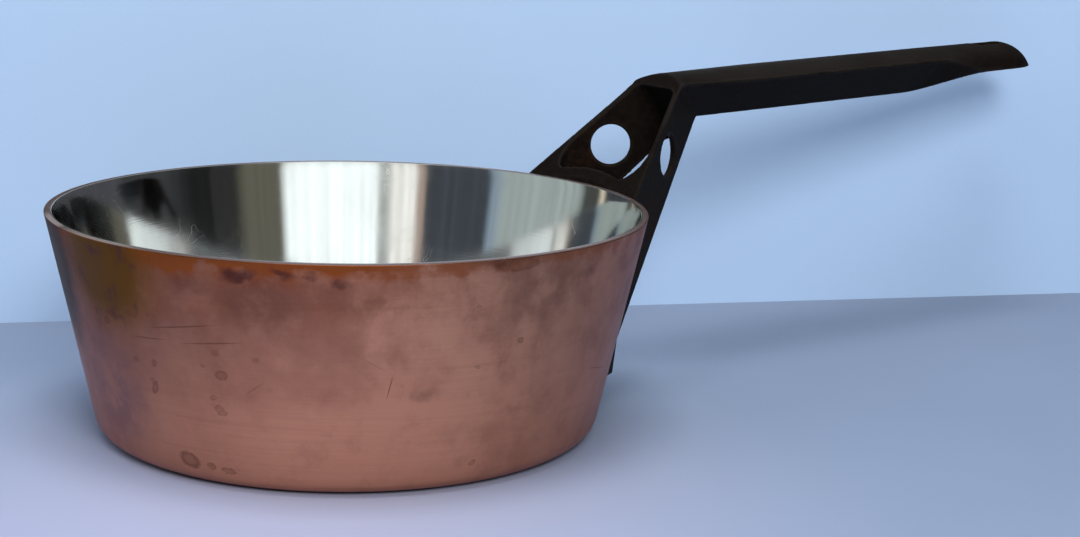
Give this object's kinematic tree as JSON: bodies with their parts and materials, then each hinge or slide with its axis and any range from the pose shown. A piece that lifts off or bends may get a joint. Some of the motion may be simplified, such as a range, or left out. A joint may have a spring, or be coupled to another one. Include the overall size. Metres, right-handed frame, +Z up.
{
  "type": "saucepan",
  "caption": "Flared saucepan with a copper body, a bonded steel lining and a long cast-iron handle on an open, pierced bracket riveted to the wall.",
  "frame": {"origin": "centre of the pan's flat base, on the surface that the pan stands on", "axes": "+Z up along the pan's axis, +X along the handle away from the pan, +Y across the handle"},
  "size_m": [0.4377, 0.2, 0.119],
  "materials": {
    "copper": "brushed",
    "lining_steel": "polished",
    "cast_iron": "matte",
    "rivet_steel": "satin"
  },
  "bodies": {
    "root": {"copper_shell": "copper", "steel_liner": "lining_steel", "handle": "cast_iron", "rivet_left": "rivet_steel", "rivet_middle": "rivet_steel", "rivet_right": "rivet_steel"}
  },
  "joints": []
}
